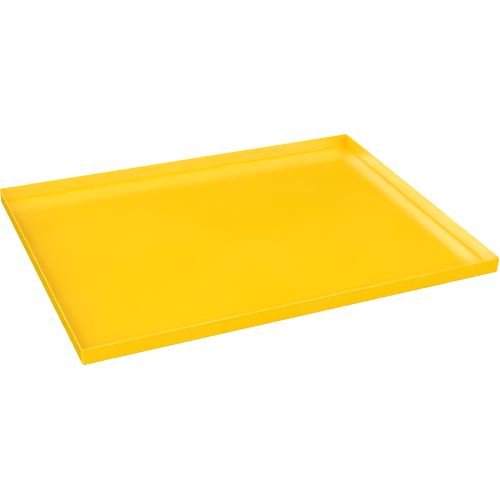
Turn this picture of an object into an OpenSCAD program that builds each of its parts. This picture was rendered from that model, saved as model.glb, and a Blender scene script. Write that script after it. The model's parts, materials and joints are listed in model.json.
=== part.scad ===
// Low spill containment tray for a pallet load or small containers.
// One steel blank is folded up on its four sides. The walls end just short of each other at
// the corners, and a weld closes each corner from the floor to the rim. The weld is dressed
// to the same radius as the folds, so the corner keeps the full thickness of the sheet.
// Millimetres. +X runs to the right, +Y to the back and +Z up, from the middle of the underside.

/* [Tray] */
// Outside length, left to right
tray_length = 1200; // [600:10:2000]
// Outside depth, front to back
tray_depth = 900; // [400:10:1500]
// Height of the rim above the ground
tray_height = 48; // [25:1:120]

/* [Sheet] */
// Thickness of the steel sheet
sheet_thickness = 3; // [1.5:0.5:5]
// Inside radius of the folds between the floor and the walls
fold_radius = 4; // [2:0.5:8]
// Rounding of the two long edges of the rim, left by deburring and coating
rim_rounding = 0.6; // [0.2:0.1:0.7]

/* [Corner welds] */
// Gap between the inside corner line and the end of each wall, which the weld fills
root_gap = 1; // [0.5:0.1:1.5]
// How far the dressed weld stands above the rim
weld_crown = 0.4; // [0:0.1:1]

/* [Hidden] */
$fn = 96;

// Outside radius of a fold, and of a dressed corner
fold_outside = fold_radius + sheet_thickness;
// Distance from a corner's outer faces to the end of each wall above its fold
wall_setback = sheet_thickness + root_gap;
// How far a cut runs past the face that it goes through
cut_overrun = 1;
// Corners counted anticlockwise from the front left, as signs of X and Y
CORNER_SIGNS = [[-1, -1], [1, -1], [1, 1], [-1, 1]];

// ---- Sections: X is the distance out from the axis of a fold, and Y the height ----

// Quarter ring that joins a wall to the floor
module fold_section() {
    intersection() {
        translate([0, fold_outside])
            difference() {
                circle(r = fold_outside);
                circle(r = fold_radius);
            }
        square(fold_outside);
    }
}

// Upright part of a wall, from the top of the fold to a rim with rounded edges
module upright_section(top) {
    shoulder = top - rim_rounding;
    translate([fold_radius, fold_outside])
        square([sheet_thickness, shoulder - fold_outside]);
    translate([fold_radius + rim_rounding, fold_outside])
        square([sheet_thickness - 2 * rim_rounding, top - fold_outside]);
    for (edge = [fold_radius + rim_rounding, fold_outside - rim_rounding])
        translate([edge, shoulder])
            circle(r = rim_rounding);
}

module wall_section(top) {
    fold_section();
    upright_section(top);
}

// ---- Shapes in place ----

// A wall along +X that faces +Y, with the axis of its fold above Y = 0
module straight_wall(length) {
    rotate([90, 0, 90])
        linear_extrude(height = length)
            wall_section(tray_height);
}

// Moves its children from the axis of the front left corner to the axis of another corner
module at_corner(corner) {
    signs = CORNER_SIGNS[corner];
    translate([signs.x * (tray_length / 2 - fold_outside),
               signs.y * (tray_depth / 2 - fold_outside), 0])
        rotate(90 * corner)
            children();
}

// The wall's section turned through a quarter about a corner's axis
module corner_turn(top) {
    rotate_extrude(angle = 90, start = 180)
        wall_section(top);
}

// Room that the ends of the two walls take up in a corner, above their folds
module wall_end_room(top) {
    translate([-fold_outside, -fold_outside, fold_outside]) {
        translate([wall_setback, 0, 0])
            cube([fold_outside - wall_setback, sheet_thickness, top - fold_outside]);
        translate([0, wall_setback, 0])
            cube([sheet_thickness, fold_outside - wall_setback, top - fold_outside]);
    }
}

// ---- Sub-parts ----

// Floor, four folds and four walls: one sheet
module folded_tray() {
    color("gold") {
        translate([-tray_length / 2 + fold_outside, -tray_depth / 2 + fold_outside, 0])
            cube([tray_length - 2 * fold_outside, tray_depth - 2 * fold_outside, sheet_thickness]);
        for (side = [0:3]) {
            along = side % 2 == 0 ? tray_length : tray_depth;
            across = side % 2 == 0 ? tray_depth : tray_length;
            rotate(90 * side)
                translate([-along / 2 + fold_outside, across / 2 - fold_outside, 0])
                    straight_wall(along - 2 * fold_outside);
        }
        for (corner = [0:3])
            at_corner(corner)
                intersection() {
                    corner_turn(tray_height);
                    wall_end_room(tray_height);
                }
    }
}

// Weld that closes one corner: a dressed post with a fillet inside and a ball at its foot
module corner_weld(corner) {
    color("goldenrod")
        at_corner(corner)
            difference() {
                corner_turn(tray_height + weld_crown);
                wall_end_room(tray_height + weld_crown + cut_overrun);
            }
}

folded_tray();
corner_weld(0);  // corner_weld_front_left
corner_weld(1);  // corner_weld_front_right
corner_weld(2);  // corner_weld_back_right
corner_weld(3);  // corner_weld_back_left
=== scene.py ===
"""Finishes a folded steel spill tray around its CAD frame, and sets it on a studio floor."""

import json
import math

import bmesh
import bpy
from mathutils import Matrix, Vector, noise


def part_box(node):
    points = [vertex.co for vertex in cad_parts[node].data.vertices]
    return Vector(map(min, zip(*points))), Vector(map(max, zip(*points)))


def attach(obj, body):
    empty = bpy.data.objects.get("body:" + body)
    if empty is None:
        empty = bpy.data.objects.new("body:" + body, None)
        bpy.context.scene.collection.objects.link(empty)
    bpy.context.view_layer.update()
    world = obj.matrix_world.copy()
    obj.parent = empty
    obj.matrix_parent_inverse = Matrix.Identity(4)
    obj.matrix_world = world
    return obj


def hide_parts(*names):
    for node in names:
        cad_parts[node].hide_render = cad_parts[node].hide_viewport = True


bl_info = {
    "name": "Spill Tray",
    "version": (1, 0, 0),
    "blender": (4, 5, 0),
    "location": "View3D > Sidebar > Spill Tray",
    "description": "Builds a folded and powder coated spill tray around its CAD frame",
    "category": "Object",
}

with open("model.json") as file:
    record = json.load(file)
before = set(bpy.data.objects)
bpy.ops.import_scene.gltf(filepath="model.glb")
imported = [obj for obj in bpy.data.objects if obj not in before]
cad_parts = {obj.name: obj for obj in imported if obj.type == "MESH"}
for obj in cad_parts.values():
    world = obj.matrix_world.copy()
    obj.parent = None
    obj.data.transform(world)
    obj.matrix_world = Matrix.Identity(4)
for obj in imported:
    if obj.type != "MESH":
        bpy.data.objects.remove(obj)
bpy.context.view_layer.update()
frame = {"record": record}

# Sizes that the CAD frame holds, in metres
_, TRAY_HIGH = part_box("folded_tray")
WELD_LOW, WELD_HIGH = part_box("corner_weld_front_left")
MOUNTS = {mount["name"]: mount for mount in frame["record"]["mounts"]}
HALF_LENGTH = TRAY_HIGH.x
HALF_DEPTH = TRAY_HIGH.y
RIM = TRAY_HIGH.z
SHEET = MOUNTS["tray_floor"]["pos_m"][2]
FOLD_OUTSIDE = WELD_HIGH.x - WELD_LOW.x
FOLD_INSIDE = FOLD_OUTSIDE - SHEET
CROWN = WELD_HIGH.z - RIM

# Corners counted anticlockwise from the front left: name, and signs of X and Y
CORNERS = [
    ("front_left", -1, -1),
    ("front_right", 1, -1),
    ("back_right", 1, 1),
    ("back_left", -1, 1),
]

MM = 0.001
QUARTER_TURN = math.radians(90)


# ---------------------------------------------------------------- settings

class TraySettings(bpy.types.PropertyGroup):
    """Sizes of the sheet that the frame leaves open"""

    panel_step: bpy.props.FloatProperty(
        name="Panel Step", description="Spacing of the mesh over the floor and along the walls",
        default=25 * MM, min=10 * MM, max=100 * MM, unit="LENGTH")
    fold_steps: bpy.props.IntProperty(
        name="Fold Steps", description="Steps round each quarter turn fold",
        default=10, min=4, max=32)
    wall_steps: bpy.props.IntProperty(
        name="Wall Steps", description="Rows of mesh up each wall", default=3, min=1, max=12)
    rim_rounding: bpy.props.FloatProperty(
        name="Rim Rounding", description="Radius of the rim's two long edges",
        default=0.6 * MM, min=0.1 * MM, max=1.4 * MM, unit="LENGTH")
    rim_steps: bpy.props.IntProperty(
        name="Rim Steps", description="Steps round each edge of the rim", default=3, min=1, max=8)
    buckle: bpy.props.FloatProperty(
        name="Floor Buckle",
        description="How far the middle of the floor lifts where the sheet is not flat",
        default=0.9 * MM, min=0.0, max=3 * MM, unit="LENGTH")
    buckle_size: bpy.props.FloatProperty(
        name="Buckle Size", description="Width of one buckle in the floor",
        default=0.26, min=0.05, max=1.0, unit="LENGTH")
    buckle_margin: bpy.props.FloatProperty(
        name="Buckle Margin",
        description="Distance from a fold over which the floor comes back to flat",
        default=0.12, min=0.01, max=0.4, unit="LENGTH")


class WeldSettings(bpy.types.PropertyGroup):
    """Sizes of the dressed corner welds"""

    course: bpy.props.FloatProperty(
        name="Course", description="Spacing of the ripples that the welder left",
        default=1.9 * MM, min=0.8 * MM, max=4 * MM, unit="LENGTH")
    rows: bpy.props.IntProperty(
        name="Rows", description="Rows of mesh up each weld", default=110, min=20, max=300)
    turn_steps: bpy.props.IntProperty(
        name="Turn Steps", description="Steps of mesh round the corner", default=24, min=8, max=64)
    ripple: bpy.props.FloatProperty(
        name="Ripple", description="Height of the ripples inside the tray",
        default=0.16 * MM, min=0.0, max=0.5 * MM, unit="LENGTH")
    sag: bpy.props.FloatProperty(
        name="Ripple Sag", description="How far each ripple hangs down in the middle of the weld",
        default=1.4 * MM, min=0.0, max=4 * MM, unit="LENGTH")
    dressing: bpy.props.FloatProperty(
        name="Dressing", description="Depth of the flats that the grinder left outside",
        default=0.1 * MM, min=0.0, max=0.4 * MM, unit="LENGTH")


class CoatSettings(bpy.types.PropertyGroup):
    """Colour and gloss of the powder coat"""

    color: bpy.props.FloatVectorProperty(
        name="Colour", description="Colour of the coat where it is thick", subtype="COLOR", size=3,
        default=(0.93, 0.545, 0.001), min=0.0, max=1.0)
    # Darker colour in the folds and corners: partly a thinner coat, partly painted crease shade
    thin_coat_and_shade_color: bpy.props.FloatVectorProperty(
        name="Thin Colour", description="Colour in the folds and corners, where less powder lands",
        subtype="COLOR", size=3, default=(0.88, 0.55, 0.0), min=0.0, max=1.0)
    # Paler clouds: partly uneven powder, partly a painted reflection of cloudy sheen
    cloud_and_sheen_color: bpy.props.FloatVectorProperty(
        name="Cloud Colour", description="Colour of the paler clouds that uneven powder leaves",
        subtype="COLOR", size=3, default=(0.94, 0.56, 0.004), min=0.0, max=1.0)
    roughness: bpy.props.FloatProperty(
        name="Roughness", description="Roughness of the coat on the walls",
        default=0.17, min=0.02, max=1.0)
    floor_roughness: bpy.props.FloatProperty(
        name="Floor Roughness",
        description="Roughness of the coat on the floor, which use has dulled",
        default=0.22, min=0.02, max=1.0)
    peel: bpy.props.FloatProperty(
        name="Orange Peel", description="Height of the orange peel",
        default=0.14 * MM, min=0.0, max=0.5 * MM, unit="LENGTH")
    peel_size: bpy.props.FloatProperty(
        name="Orange Peel Size", description="Width of one dimple of the orange peel",
        default=2.6 * MM, min=0.5 * MM, max=10 * MM, unit="LENGTH")
    weld_gloss: bpy.props.FloatProperty(
        name="Weld Gloss", description="Specular level of the coat over the ground welds",
        default=0.15, min=0.0, max=1.0)
    # Colour of the burnt spots, and also of the veil that paints shade over the welds
    stain_and_shade_color: bpy.props.FloatVectorProperty(
        name="Stain Colour", description="Colour of the burnt metal that shows faintly at the welds",
        subtype="COLOR", size=3, default=(0.5, 0.27, 0.01), min=0.0, max=1.0)
    stain: bpy.props.FloatProperty(
        name="Stain", description="Strength of the burnt spots at the welds",
        default=0.45, min=0.0, max=1.0)
    # Painted shade: a veil of the stained colour over every weld, which darkens the rounded corners
    weld_shade_veil: bpy.props.FloatProperty(
        name="Stain Veil", description="Strength of the stain all over the welds",
        default=0.16, min=0.0, max=1.0)
    stain_size: bpy.props.FloatProperty(
        name="Stain Size", description="Width of one burnt spot",
        default=14 * MM, min=2 * MM, max=50 * MM, unit="LENGTH")
    scratch_size: bpy.props.FloatProperty(
        name="Scratch Size", description="Length of the grinder's marks round the corner",
        default=5 * MM, min=1 * MM, max=20 * MM, unit="LENGTH")


class StageSettings(bpy.types.PropertyGroup):
    """Floor, lights and camera"""

    floor_color: bpy.props.FloatVectorProperty(
        name="Floor Colour", description="Colour of the studio floor", subtype="COLOR", size=3,
        default=(0.9, 0.9, 0.9), min=0.0, max=1.0)
    floor_size: bpy.props.FloatProperty(
        name="Floor Size", description="Width of the studio floor",
        default=40.0, min=4.0, unit="LENGTH")
    surroundings: bpy.props.FloatProperty(
        name="Surroundings", description="Brightness of the studio's walls and ceiling",
        default=1.06, min=0.0, max=4.0)
    ground_light: bpy.props.FloatProperty(
        name="Ground Light", description="Brightness of what lights the outer walls from below",
        default=1.03, min=0.0, max=4.0)
    floor_glow: bpy.props.FloatProperty(
        name="Floor Glow", description="Light that the floor adds of its own, which softens shadows",
        default=0.6, min=0.0, max=2.0)
    camera_place: bpy.props.FloatVectorProperty(
        name="Camera Place", description="Where the camera stands", size=3, subtype="TRANSLATION",
        unit="LENGTH", default=(-1.0931, -2.4371, 1.5139))
    camera_pan: bpy.props.FloatProperty(
        name="Camera Pan", description="Turn of the camera to the right of +Y",
        default=math.radians(24.916), subtype="ANGLE")
    camera_tilt: bpy.props.FloatProperty(
        name="Camera Tilt", description="How far the camera looks down",
        default=math.radians(30.288), subtype="ANGLE")
    camera_roll: bpy.props.FloatProperty(
        name="Camera Roll", description="How far the camera leans", default=math.radians(2.073),
        subtype="ANGLE")
    camera_lens: bpy.props.FloatProperty(
        name="Lens", description="Focal length on a 36 mm sensor, in millimetres",
        default=75.28, min=10.0)


# Area lights: name, place, width, height, radiance, and the part of the coat's look that each
# one lights, which is either its matt colour or its gloss. All of them face the middle of the tray.
LIGHTS = [
    ("front_left_key", (-2.9, -2.5, 3.2), 2.6, 1.6, 4.4, "matt"),
    ("front_right_key", (1.5, -3.6, 2.6), 2.2, 1.4, 3.9, "matt"),
    ("left_fill", (-3.6, 0.6, 0.8), 1.4, 1.4, 4.8, "matt"),
    ("back_left_near_strip", (-1.45, 2.05, 1.77), 0.9, 0.8, 36.0, "gloss"),
    ("back_left_mid_strip", (-1.35, 2.8, 1.68), 0.9, 0.8, 11.0, "gloss"),
    ("back_left_far_strip", (-1.2, 3.5, 1.6), 0.9, 0.8, 16.0, "gloss"),
    ("front_right_near_strip", (2.3, -2.75, 1.7), 1.2, 0.9, 14.0, "gloss"),
    ("front_right_mid_strip", (1.3, -2.95, 1.8), 1.2, 0.9, 9.0, "gloss"),
    ("front_right_far_strip", (0.3, -3.05, 1.85), 1.2, 0.9, 8.0, "gloss"),
    ("camera_side_lamp", (-1.21, -2.68, 1.67), 0.9, 0.9, 8.0, "gloss"),
    ("rim_strip", (1.1, -1.35, 2.85), 2.4, 0.7, 55.0, "gloss"),
    ("rim_corner_strip", (0.0, -1.35, 2.85), 0.7, 0.7, 35.0, "gloss"),
]

# Directions in which the surroundings are dark, where the floor and the two near walls would
# mirror them, and the cosines between which each dark panel's soft edge lies
DARK_PANELS = [(0.50, 0.75, 0.44), (-0.50, 0.75, -0.44), (0.50, -0.75, -0.44)]
DARK_PANEL_EDGE = (0.80, 0.93)
# Heights of a direction between which the light from below goes over into the light from above
HORIZON = (-0.1, 0.1)
# Width of the camera's sensor, in millimetres
SENSOR_WIDTH = 36


# ---------------------------------------------------------------- modelling helpers

# How far a point may be from the place where it is looked for
PLACE_SLACK = 0.02 * MM
# Points that are closer than this become one
MERGE_DISTANCE = 0.002 * MM
# Edges that turn by more than this stay crisp
SHEET_CRISP_ANGLE = math.radians(40)
WELD_CRISP_ANGLE = math.radians(50)
# Pull of the large faces on the shading of the rounded edges beside them
LARGE_FACE_WEIGHT = 80


def deselect_everything():
    """Leaves no object selected, so that an operator acts only on what comes next"""
    if bpy.context.object and bpy.context.object.mode != "OBJECT":
        bpy.ops.object.mode_set(mode="OBJECT")
    bpy.ops.object.select_all(action="DESELECT")


def activate(piece):
    """Makes one piece the only selected object and the active one"""
    deselect_everything()
    piece.select_set(True)
    bpy.context.view_layer.objects.active = piece


def named_primitive(name, size=(1, 1, 1)):
    """Names the primitive that was just added, sizes it, and puts its place into its mesh"""
    piece = bpy.context.object
    piece.name = name
    piece.data.name = name
    piece.scale = size
    bpy.ops.object.transform_apply(location=True, rotation=True, scale=True)
    return piece


def select_where(piece, domain, test):
    """In edit mode, selects the verts, edges or faces that pass the test, and nothing else"""
    bpy.ops.mesh.select_mode(type={"verts": "VERT", "edges": "EDGE", "faces": "FACE"}[domain])
    bpy.ops.mesh.select_all(action="DESELECT")
    mesh = bmesh.from_edit_mesh(piece.data)
    found = [element for element in getattr(mesh, domain) if test(element)]
    if not found:
        raise RuntimeError(f"{piece.name}: no {domain} to select")
    for element in found:
        element.select_set(True)
    bmesh.update_edit_mesh(piece.data)


def lies_on(point, axis, value):
    """True if the point's coordinate along an axis is that value"""
    return abs(point[axis] - value) < PLACE_SLACK


def edge_lies_on(edge, axis, value):
    """True if both ends of an edge have that coordinate"""
    return all(lies_on(vertex.co, axis, value) for vertex in edge.verts)


def apply_modifier(piece, kind, **settings):
    """Adds a modifier to the piece, sets it and applies it"""
    modifier = piece.modifiers.new(kind.lower(), kind)
    for key, value in settings.items():
        setattr(modifier, key, value)
    activate(piece)
    bpy.ops.object.modifier_apply(modifier=modifier.name)


def merge_and_face_outwards(piece):
    """Merges double points and turns every face outwards"""
    activate(piece)
    bpy.ops.object.mode_set(mode="EDIT")
    bpy.ops.mesh.select_all(action="SELECT")
    bpy.ops.mesh.remove_doubles(threshold=MERGE_DISTANCE)
    bpy.ops.mesh.select_all(action="SELECT")
    bpy.ops.mesh.normals_make_consistent(inside=False)
    bpy.ops.object.mode_set(mode="OBJECT")


def smooth_with_crisp_corners(piece):
    """Smooth shading that stays flat on flat faces and breaks at sharp edges"""
    activate(piece)
    bpy.ops.object.shade_smooth_by_angle(angle=SHEET_CRISP_ANGLE)
    apply_modifier(piece, "WEIGHTED_NORMAL", keep_sharp=True, weight=LARGE_FACE_WEIGHT)


def ease(value, low, high):
    """0 below low, 1 above high and a smooth step between them"""
    share = min(max((value - low) / (high - low), 0.0), 1.0)
    return share * share * (3 - 2 * share)


# ---------------------------------------------------------------- the folded sheet

# How far outside a wall's thickness the middle of an edge may be and still count as in it
WALL_SLACK = 0.1 * MM
# An edge runs along an axis if the cosine between them is over this
RUNS_ALONG = 0.9


def fold_up(piece, side, settings):
    """Turns one edge of the flat sheet up through a fold, and draws it up to the rim"""
    axis = 0 if side in ("left", "right") else 1
    sign = 1 if side in ("right", "back") else -1
    half = HALF_LENGTH if axis == 0 else HALF_DEPTH
    flat_edge = sign * (half - FOLD_OUTSIDE)

    def is_flat_edge(edge):
        return edge_lies_on(edge, axis, flat_edge) and edge_lies_on(edge, 2, 0.0)

    select_where(piece, "edges", is_flat_edge)
    centre = Vector((0.0, 0.0, FOLD_OUTSIDE))
    centre[axis] = flat_edge
    turning = Vector((0.0, sign, 0.0)) if axis == 0 else Vector((-sign, 0.0, 0.0))
    bpy.ops.mesh.spin(
        steps=settings.fold_steps, dupli=False, angle=QUARTER_TURN, center=centre, axis=turning)
    rise = (RIM - FOLD_OUTSIDE) / settings.wall_steps
    for _ in range(settings.wall_steps):
        bpy.ops.mesh.extrude_region_move(TRANSFORM_OT_translate={"value": (0.0, 0.0, rise)})


def buckle_floor(piece, settings):
    """Lifts the floor in soft, shallow buckles that die away before the folds"""
    group = piece.vertex_groups.new(name="buckle")
    for vertex in piece.data.vertices:
        reach_x = HALF_LENGTH - FOLD_OUTSIDE - abs(vertex.co.x)
        reach_y = HALF_DEPTH - FOLD_OUTSIDE - abs(vertex.co.y)
        margin = settings.buckle_margin
        weight = ease(reach_x, 0.0, margin) * ease(reach_y, 0.0, margin)
        group.add([vertex.index], weight, "REPLACE")
    clouds = bpy.data.textures.new("buckles", "CLOUDS")
    clouds.noise_scale = settings.buckle_size
    clouds.noise_depth = 1
    apply_modifier(
        piece, "DISPLACE", texture=clouds, texture_coords="LOCAL", direction="Z", mid_level=0.0,
        strength=settings.buckle, vertex_group=group.name)
    piece.vertex_groups.clear()
    bpy.data.textures.remove(clouds)


def round_rim(piece, settings):
    """Rounds the two long edges of each wall's rim"""
    activate(piece)
    bpy.ops.object.mode_set(mode="EDIT")

    def crosses_wall(edge, axis, half):
        """True if an edge of the rim runs through the thickness of the walls on that axis"""
        along = (edge.verts[1].co - edge.verts[0].co).normalized()
        middle = (edge.verts[0].co + edge.verts[1].co) / 2
        in_wall = abs(middle[axis]) > half - SHEET - WALL_SLACK
        return in_wall and abs(along[axis]) > RUNS_ALONG

    def is_rim_edge(edge):
        if not edge_lies_on(edge, 2, RIM) or len(edge.link_faces) != 2:
            return False
        return not crosses_wall(edge, 0, HALF_LENGTH) and not crosses_wall(edge, 1, HALF_DEPTH)

    select_where(piece, "edges", is_rim_edge)
    bpy.ops.mesh.bevel(
        offset=settings.rim_rounding, offset_type="OFFSET", segments=settings.rim_steps, profile=0.5,
        affect="EDGES", clamp_overlap=False)
    bpy.ops.object.mode_set(mode="OBJECT")


def build_sheet(settings):
    """One sheet: a flat floor whose four edges are folded up into walls"""
    flat_length = 2 * (HALF_LENGTH - FOLD_OUTSIDE)
    flat_depth = 2 * (HALF_DEPTH - FOLD_OUTSIDE)
    deselect_everything()
    bpy.ops.mesh.primitive_grid_add(
        x_subdivisions=round(flat_length / settings.panel_step),
        y_subdivisions=round(flat_depth / settings.panel_step),
        size=1, location=(0, 0, 0))
    sheet = named_primitive("coated_tray_sheet", (flat_length, flat_depth, 1))
    bpy.ops.object.mode_set(mode="EDIT")
    for side in ("left", "right", "front", "back"):
        fold_up(sheet, side, settings)
    bpy.ops.object.mode_set(mode="OBJECT")
    merge_and_face_outwards(sheet)
    buckle_floor(sheet, settings)
    apply_modifier(sheet, "SOLIDIFY", thickness=SHEET, offset=-1.0, use_even_offset=True, use_rim=True)
    round_rim(sheet, settings)
    smooth_with_crisp_corners(sheet)
    return sheet


# ---------------------------------------------------------------- the corner welds

# Sides of the rounding over the top of a weld
TOP_STEPS = 5
# How close to a cut a point may be and still lie on it
CUT_SLACK = 0.01 * MM
# The ripples begin this many sheet thicknesses above the ground
FOOT_START = 1.2
# Waves in a metre of the bead's unevenness, and of the grinder's flats
BEAD_WAVES = 260
FLAT_WAVES = 170
# How far the unevenness shifts a ripple, as a share of one course, and how far it raises it
BEAD_SHIFT = 0.35
BEAD_RISE = 0.5
# Share of the full height that is left between two ripples, and between two flats
BEAD_BASE = 0.4
FLAT_BASE = 0.5
# Step from one weld's part of the noise to the next one's
WELD_DRIFT = (7.3, 1.9, 0.0)


def build_weld_blank(settings):
    """The front left weld before its ripples: the wall's section, turned through a quarter"""
    axis_x = -HALF_LENGTH + FOLD_OUTSIDE
    axis_y = -HALF_DEPTH + FOLD_OUTSIDE
    top = RIM + CROWN
    top_round = SHEET / 3
    upright = top - FOLD_OUTSIDE
    deselect_everything()
    bpy.ops.mesh.primitive_plane_add(
        size=1, location=(axis_x, axis_y - FOLD_INSIDE - SHEET / 2, FOLD_OUTSIDE + upright / 2),
        rotation=(QUARTER_TURN, 0, QUARTER_TURN))
    weld = named_primitive("weld_blank", (SHEET, upright, 1))
    bpy.ops.object.mode_set(mode="EDIT")
    select_where(weld, "verts", lambda vertex: lies_on(vertex.co, 2, top))
    bpy.ops.mesh.bevel(
        offset=top_round, segments=TOP_STEPS, affect="VERTICES", clamp_overlap=False)
    for row in range(1, settings.rows):
        bpy.ops.mesh.select_all(action="SELECT")
        height = FOLD_OUTSIDE + (upright - top_round) * row / settings.rows
        bpy.ops.mesh.bisect(plane_co=(0, 0, height), plane_no=(0, 0, 1), threshold=CUT_SLACK)
    select_where(weld, "edges", lambda edge: edge_lies_on(edge, 2, FOLD_OUTSIDE))
    bpy.ops.mesh.spin(
        steps=settings.turn_steps // 2, dupli=False, angle=QUARTER_TURN,
        center=(axis_x, axis_y, FOLD_OUTSIDE), axis=(-1, 0, 0))
    bpy.ops.mesh.select_all(action="SELECT")
    bpy.ops.mesh.spin(
        steps=settings.turn_steps, dupli=False, angle=QUARTER_TURN,
        center=(axis_x, axis_y, 0), axis=(0, 0, 1))
    bpy.ops.object.mode_set(mode="OBJECT")
    merge_and_face_outwards(weld)
    return weld


def lay_ripples(weld, number, axis, settings):
    """Moves a weld's skin: hanging ripples inside the tray, and a grinder's soft flats outside"""
    drift = Vector([step * number for step in WELD_DRIFT])
    for vertex in weld.data.vertices:
        centre = Vector((axis.x, axis.y, max(vertex.co.z, FOLD_OUTSIDE)))
        away = vertex.co - centre
        distance = away.length
        if distance < FOLD_INSIDE / 2:
            continue
        away /= distance
        turn = math.atan2(abs(away.y), abs(away.x)) / QUARTER_TURN
        middle = max(0.0, 1 - (2 * turn - 1) ** 2)
        foot = ease(vertex.co.z, SHEET * FOOT_START, FOLD_OUTSIDE)
        ripple_height = vertex.co.z + settings.sag * middle
        wander = noise.noise(vertex.co * BEAD_WAVES + drift)
        phase = (ripple_height / settings.course + BEAD_SHIFT * wander) % 1.0
        scallop = math.sqrt(max(0.0, 1 - (2 * phase - 1) ** 2))
        if distance < FOLD_OUTSIDE - SHEET / 2:
            move = -settings.ripple * middle * foot * (BEAD_BASE + scallop + BEAD_RISE * wander)
        else:
            flat = noise.noise(vertex.co * FLAT_WAVES + drift)
            move = -settings.dressing * middle * foot * (FLAT_BASE + flat)
        vertex.co += away * move


def build_welds(settings):
    """Four dressed corner welds, each a copy of one blank with ripples of its own"""
    blank = build_weld_blank(settings)
    blank_axis = Vector((-HALF_LENGTH + FOLD_OUTSIDE, -HALF_DEPTH + FOLD_OUTSIDE, 0.0))
    welds = []
    for number, (corner, sign_x, sign_y) in enumerate(CORNERS):
        activate(blank)
        bpy.ops.object.duplicate()
        weld = bpy.context.object
        weld.name = "dressed_weld_" + corner
        weld.data.name = weld.name
        axis = Vector((
            sign_x * (HALF_LENGTH - FOLD_OUTSIDE), sign_y * (HALF_DEPTH - FOLD_OUTSIDE), 0.0))
        turn = Matrix.Rotation(math.radians(90 * number), 4, "Z")
        weld.matrix_world = Matrix.Translation(axis) @ turn @ Matrix.Translation(-blank_axis)
        bpy.ops.object.transform_apply(location=True, rotation=True, scale=True)
        lay_ripples(weld, number, axis, settings)
        activate(weld)
        bpy.ops.object.shade_smooth_by_angle(angle=WELD_CRISP_ANGLE)
        welds.append(weld)
    bpy.data.objects.remove(blank)
    return welds


# ---------------------------------------------------------------- node graphs

class Socket:
    """A node's output that takes part in sums"""

    def __init__(self, graph, socket):
        self.graph = graph
        self.socket = socket

    def __add__(self, other):
        return self.graph.math("ADD", self, other)

    def __radd__(self, other):
        return self.graph.math("ADD", other, self)

    def __sub__(self, other):
        return self.graph.math("SUBTRACT", self, other)

    def __rsub__(self, other):
        return self.graph.math("SUBTRACT", other, self)

    def __mul__(self, other):
        return self.graph.math("MULTIPLY", self, other)

    def __rmul__(self, other):
        return self.graph.math("MULTIPLY", other, self)

    def __abs__(self):
        return self.graph.math("ABSOLUTE", self)

    def __lt__(self, other):
        return self.graph.math("LESS_THAN", self, other)

    def at_least(self, other):
        """The greater of the two"""
        return self.graph.math("MAXIMUM", self, other)

    def eased(self, low, high):
        """0 at low, 1 at high, and smooth between them"""
        return self.graph.node(
            "ShaderNodeMapRange", {"interpolation_type": "SMOOTHSTEP"},
            {"Value": self, "From Min": low, "From Max": high})


class Graph:
    """The nodes of a material or of the surroundings, written as expressions"""

    def __init__(self, owner):
        self.owner = owner
        owner.use_nodes = True
        self.tree = owner.node_tree
        self.tree.nodes.clear()

    def node(self, kind, settings=None, inputs=None, output=0):
        """Adds a node, sets it, fills or links its inputs, and gives one of its outputs"""
        made = self.tree.nodes.new(kind)
        for key, value in (settings or {}).items():
            setattr(made, key, value)
        for key, value in (inputs or {}).items():
            if isinstance(value, Socket):
                self.tree.links.new(value.socket, made.inputs[key])
            else:
                made.inputs[key].default_value = value
        return Socket(self, made.outputs[output]) if made.outputs else None

    def math(self, operation, *values):
        """A Math node"""
        return self.node("ShaderNodeMath", {"operation": operation}, dict(enumerate(values)))

    def mix_color(self, factor, below, above):
        """Goes from one colour to another"""
        return self.node(
            "ShaderNodeMix", {"data_type": "RGBA"}, {"Factor": factor, 6: below, 7: above}, output=2)

    def noise(self, place, size, detail=2.0, rough=0.5):
        """Cloudy noise from 0 to 1, whose features are about the given size in metres"""
        return self.node(
            "ShaderNodeTexNoise", inputs={
                "Vector": place, "Scale": 1 / size, "Detail": detail, "Roughness": rough})

    def finish(self, shader, output="ShaderNodeOutputMaterial"):
        """Sends the shader to the surface"""
        self.node(output, inputs={"Surface": shader})
        return self.owner


# How far past a fold's tangents its darker line, painted crease shade on a duller coat, fades out
FOLD_FADE = 2.2 * MM


class Place:
    """Where a point of the tray's surface is, and how far past each fold's tangent, as sockets"""

    def __init__(self, graph):
        self.point = graph.node("ShaderNodeTexCoord", output="Object")
        self.x, self.y, self.z = (
            graph.node("ShaderNodeSeparateXYZ", inputs={"Vector": self.point}, output=axis)
            for axis in ("X", "Y", "Z"))
        self.past_x = abs(self.x) - (HALF_LENGTH - FOLD_OUTSIDE)
        self.past_y = abs(self.y) - (HALF_DEPTH - FOLD_OUTSIDE)
        self.below = FOLD_OUTSIDE - self.z
        self.inside = (
            (self.past_x < FOLD_OUTSIDE - SHEET / 2) * (self.past_y < FOLD_OUTSIDE - SHEET / 2)
            * (self.below < FOLD_OUTSIDE - SHEET / 2))

    def in_fold(self, first, second):
        """1 inside a concave fold, easing to 0 a little past both of its tangents"""
        return (first + second).eased(FOLD_INSIDE - FOLD_FADE, FOLD_INSIDE) * self.inside

    def in_any_fold(self):
        """1 inside the folds round the floor and in the corners between the walls"""
        side_folds = self.in_fold(self.past_x, self.below)
        all_folds = side_folds.at_least(self.in_fold(self.past_y, self.below))
        return all_folds.at_least(self.in_fold(self.past_x, self.past_y))


def opaque(color):
    """A colour with alpha"""
    return (*color, 1.0)


# ---------------------------------------------------------------- materials

# Widths of the coat's clouds and of the specks that break up their outlines
CLOUD_SIZE = 0.28
SPECK_SIZE = 0.03
# How far the specks shift the clouds' outlines, and the noise levels where a cloud begins and
# is full
SPECK_SHIFT = 0.12
CLOUD_EDGE = (0.35, 0.68)
# How much the roughness varies with the clouds
CLOUD_ROUGHNESS = 0.08
# Width of the coat's soft swells, in dimples of its orange peel
SWELL_DIMPLES = 4
# Roughness of the coat where little powder landed
THIN_ROUGHNESS = 0.75
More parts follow.
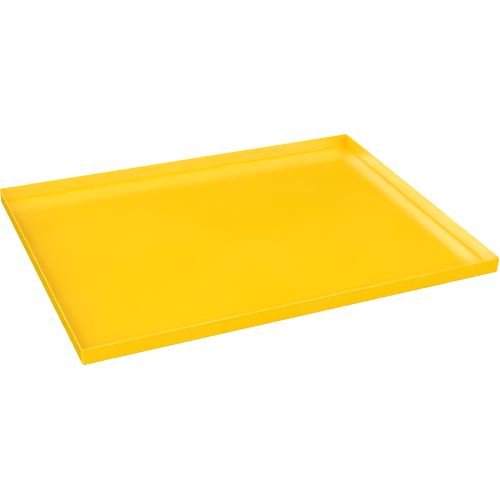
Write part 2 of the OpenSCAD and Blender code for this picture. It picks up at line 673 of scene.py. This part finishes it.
# The grinder's marks: how much shorter they are upwards than round the corner, and their depth
# against the orange peel's
MARK_SQUEEZE = 7.0
MARK_DEPTH = 1.5
# The noise levels where a burnt spot begins and is full
SPOT_EDGE = (0.5, 0.72)
# Width of the clouds on the studio floor, and how dark they are against the rest of it
FLOOR_CLOUD_SIZE = 0.8
FLOOR_CLOUD_SHADE = 0.995


def coat_shader(graph, place, settings, thin_and_shaded, stain=0.0, marks=0.0, gloss=0.5):
    """The powder coat, glossy where it is thick, and dull and darker in the folds that the mask
    marks: a thinner coat there, with the folds' shade painted into its colour

    stain is how much of the stained colour shows: burnt spots, and on the welds a veil of painted
    shade. marks is relief left in the metal under the coat, and gloss is the specular level of the
    thick coat."""
    clouds = graph.noise(place.point, CLOUD_SIZE, detail=3.0, rough=0.5)
    specks = graph.noise(place.point, SPECK_SIZE, detail=2.0, rough=0.6)
    # Paler clouds in the colour: partly uneven powder, partly painted reflection
    cloud_and_sheen_share = (clouds + (specks - 0.5) * SPECK_SHIFT).eased(*CLOUD_EDGE)
    color = graph.mix_color(cloud_and_sheen_share, opaque(settings.color), opaque(settings.cloud_and_sheen_color))
    # Stained colour: burnt spots, and on the welds a veil of painted shade
    color = graph.mix_color(stain, color, opaque(settings.stain_and_shade_color))
    floor_share = place.below.eased(0.0, FOLD_INSIDE)
    roughness = (
        settings.roughness + floor_share * (settings.floor_roughness - settings.roughness)
        + (clouds - 0.5) * CLOUD_ROUGHNESS)
    peel = graph.noise(place.point, settings.peel_size, detail=1.0, rough=0.4)
    swells = graph.noise(place.point, settings.peel_size * SWELL_DIMPLES, detail=1.0, rough=0.4)
    normal = graph.node(
        "ShaderNodeBump", inputs={
            "Strength": 1.0, "Distance": settings.peel, "Height": peel + swells + marks})
    thick = graph.node(
        "ShaderNodeBsdfPrincipled", inputs={
            "Base Color": color, "Roughness": roughness, "Specular IOR Level": gloss, "IOR": 1.5,
            "Normal": normal})
    # Darker, duller coat for the folds: thinner powder, with painted crease shade in its colour
    dull_and_shaded = graph.node(
        "ShaderNodeBsdfPrincipled", inputs={
            "Base Color": opaque(settings.thin_coat_and_shade_color), "Roughness": THIN_ROUGHNESS,
            "Specular IOR Level": 0.0, "Normal": normal})
    return graph.node("ShaderNodeMixShader", inputs={"Fac": thin_and_shaded, 1: thick, 2: dull_and_shaded})


def make_sheet_material(settings):
    """Powder coat on the folded sheet"""
    graph = Graph(bpy.data.materials.new("powder_coated_sheet"))
    place = Place(graph)
    # The folds get the darker, duller coat: a thinner coat with painted crease shade
    return graph.finish(coat_shader(graph, place, settings, place.in_any_fold()))


def make_weld_material(settings):
    """Powder coat over a dressed weld, with the grinder's marks and a few burnt spots under it,
    and a veil of painted shade over all of it
    """
    graph = Graph(bpy.data.materials.new("powder_coated_weld"))
    place = Place(graph)
    stretched = graph.node(
        "ShaderNodeVectorMath", {"operation": "MULTIPLY"},
        {0: place.point, 1: (1.0, 1.0, MARK_SQUEEZE)})
    scratches = graph.noise(stretched, settings.scratch_size, detail=3.0, rough=0.6)
    spots = graph.noise(place.point, settings.stain_size, detail=2.0, rough=0.5)
    # Burnt spots, plus an even veil that paints shade over the whole weld and darkens its corners
    stain = spots.eased(*SPOT_EDGE) * settings.stain + settings.weld_shade_veil
    # Folds and corners of the weld get the darker, duller coat: a thinner coat with painted crease
    # shade
    thin_and_shaded = place.in_any_fold()
    marks = scratches * MARK_DEPTH
    return graph.finish(
        coat_shader(graph, place, settings, thin_and_shaded, stain, marks, settings.weld_gloss))


def make_floor_material(settings):
    """Matt studio floor"""
    graph = Graph(bpy.data.materials.new("studio_floor"))
    point = graph.node("ShaderNodeTexCoord", output="Object")
    clouds = graph.noise(point, FLOOR_CLOUD_SIZE, detail=2.0)
    shade = [FLOOR_CLOUD_SHADE * channel for channel in settings.floor_color]
    color = graph.mix_color(clouds, opaque(shade), opaque(settings.floor_color))
    return graph.finish(graph.node(
        "ShaderNodeBsdfPrincipled", inputs={
            "Base Color": color, "Roughness": 0.9, "Specular IOR Level": 0.1,
            "Emission Color": opaque((1, 1, 1)), "Emission Strength": settings.floor_glow}))


def dress(piece, material):
    """Gives the piece its one material"""
    piece.data.materials.clear()
    piece.data.materials.append(material)


# ---------------------------------------------------------------- the stage

def add_light(name, place, width, height, radiance, part):
    """A soft box that faces the middle of the tray, and lights its matt colour or its gloss"""
    deselect_everything()
    aim = (-place).to_track_quat("-Z", "Y").to_euler()
    bpy.ops.object.light_add(type="AREA", location=place, rotation=aim)
    light = bpy.context.object
    light.name = name
    light.data.shape = "RECTANGLE"
    light.data.size = width
    light.data.size_y = height
    light.data.energy = radiance * math.pi * width * height
    light.visible_diffuse = part == "matt"
    light.visible_glossy = part == "gloss"


def set_surroundings(scene, settings):
    """Soft light from all round, plain white to the camera and left out of the coat's gloss"""
    graph = Graph(bpy.data.worlds.new("studio"))
    direction = graph.node("ShaderNodeTexCoord", output="Generated")
    height = graph.node("ShaderNodeSeparateXYZ", inputs={"Vector": direction}, output="Z")
    seen = graph.node("ShaderNodeLightPath", output="Is Camera Ray")
    above = height.eased(*HORIZON)
    soft = settings.ground_light + above * (settings.surroundings - settings.ground_light)
    for panel in DARK_PANELS:
        nearness = graph.node(
            "ShaderNodeVectorMath", {"operation": "DOT_PRODUCT"},
            {0: direction, 1: Vector(panel).normalized()}, output="Value")
        soft = soft * (1 - nearness.eased(*DARK_PANEL_EDGE))
    strength = soft * (1 - seen) + seen
    scene.world = graph.finish(graph.node(
        "ShaderNodeBackground", inputs={"Color": opaque((1, 1, 1)), "Strength": strength}),
        output="ShaderNodeOutputWorld")
    scene.world.cycles_visibility.glossy = False
    # If they were sampled directly, the surroundings would show in the gloss after all
    scene.world.cycles.sampling_method = "NONE"


def set_camera(scene, settings):
    """Stands the camera in its place, panned, tilted and rolled"""
    deselect_everything()
    bpy.ops.object.camera_add()
    camera = bpy.context.object
    camera.name = "camera"
    pan = Matrix.Rotation(-settings.camera_pan, 4, "Z")
    tilt = Matrix.Rotation(QUARTER_TURN - settings.camera_tilt, 4, "X")
    roll = Matrix.Rotation(settings.camera_roll, 4, "Z")
    camera.matrix_world = Matrix.Translation(settings.camera_place) @ pan @ tilt @ roll
    camera.data.sensor_width = SENSOR_WIDTH
    camera.data.lens = settings.camera_lens
    scene.camera = camera


# ---------------------------------------------------------------- operators

class TRAY_OT_add_sheet(bpy.types.Operator):
    """Builds the coated sheet: floor, folds and walls"""

    bl_idname = "spill_tray.add_sheet"
    bl_label = "Add Folded Sheet"

    def execute(self, context):
        scene = context.scene
        sheet = build_sheet(scene.spill_tray_sheet)
        dress(sheet, make_sheet_material(scene.spill_tray_coat))
        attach(sheet, "root")
        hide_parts("folded_tray")
        return {"FINISHED"}


class TRAY_OT_add_welds(bpy.types.Operator):
    """Builds the four dressed corner welds"""

    bl_idname = "spill_tray.add_welds"
    bl_label = "Add Corner Welds"

    def execute(self, context):
        scene = context.scene
        material = make_weld_material(scene.spill_tray_coat)
        for weld, (corner, _, _) in zip(build_welds(scene.spill_tray_weld), CORNERS):
            dress(weld, material)
            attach(weld, "root")
            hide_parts("corner_weld_" + corner)
        return {"FINISHED"}


class TRAY_OT_set_stage(bpy.types.Operator):
    """Lays the studio floor, and sets the lights and the camera"""

    bl_idname = "spill_tray.set_stage"
    bl_label = "Set Stage"

    def execute(self, context):
        settings = context.scene.spill_tray_stage
        deselect_everything()
        bpy.ops.mesh.primitive_plane_add(size=settings.floor_size, location=(0, 0, 0))
        floor = named_primitive("studio_floor")
        dress(floor, make_floor_material(settings))
        floor.visible_glossy = False
        floor.visible_diffuse = False
        for name, place, width, height, radiance, part in LIGHTS:
            add_light(name, Vector(place), width, height, radiance, part)
        set_surroundings(context.scene, settings)
        set_camera(context.scene, settings)
        context.scene.view_settings.view_transform = "Standard"
        return {"FINISHED"}


class TRAY_PT_panel(bpy.types.Panel):
    """Lists the steps that build the tray"""

    bl_idname = "TRAY_PT_panel"
    bl_label = "Spill Tray"
    bl_space_type = "VIEW_3D"
    bl_region_type = "UI"
    bl_category = "Spill Tray"

    def draw(self, context):
        for operator in OPERATORS:
            self.layout.operator(operator.bl_idname)
        for group in SETTINGS:
            box = self.layout.box()
            for name in SETTINGS[group].__annotations__:
                box.prop(getattr(context.scene, group), name)


OPERATORS = (TRAY_OT_add_sheet, TRAY_OT_add_welds, TRAY_OT_set_stage)
SETTINGS = {
    "spill_tray_sheet": TraySettings,
    "spill_tray_weld": WeldSettings,
    "spill_tray_coat": CoatSettings,
    "spill_tray_stage": StageSettings,
}


def register():
    """Registers the settings, the steps and the panel"""
    for cls in (*SETTINGS.values(), *OPERATORS, TRAY_PT_panel):
        bpy.utils.register_class(cls)
    for name, cls in SETTINGS.items():
        setattr(bpy.types.Scene, name, bpy.props.PointerProperty(type=cls))


def unregister():
    """Takes them all out again"""
    for name in SETTINGS:
        delattr(bpy.types.Scene, name)
    for cls in reversed((*SETTINGS.values(), *OPERATORS, TRAY_PT_panel)):
        bpy.utils.unregister_class(cls)


def main():
    register()
    bpy.ops.spill_tray.add_sheet()
    bpy.ops.spill_tray.add_welds()
    bpy.ops.spill_tray.set_stage()


if __name__ == "__main__":
    main()
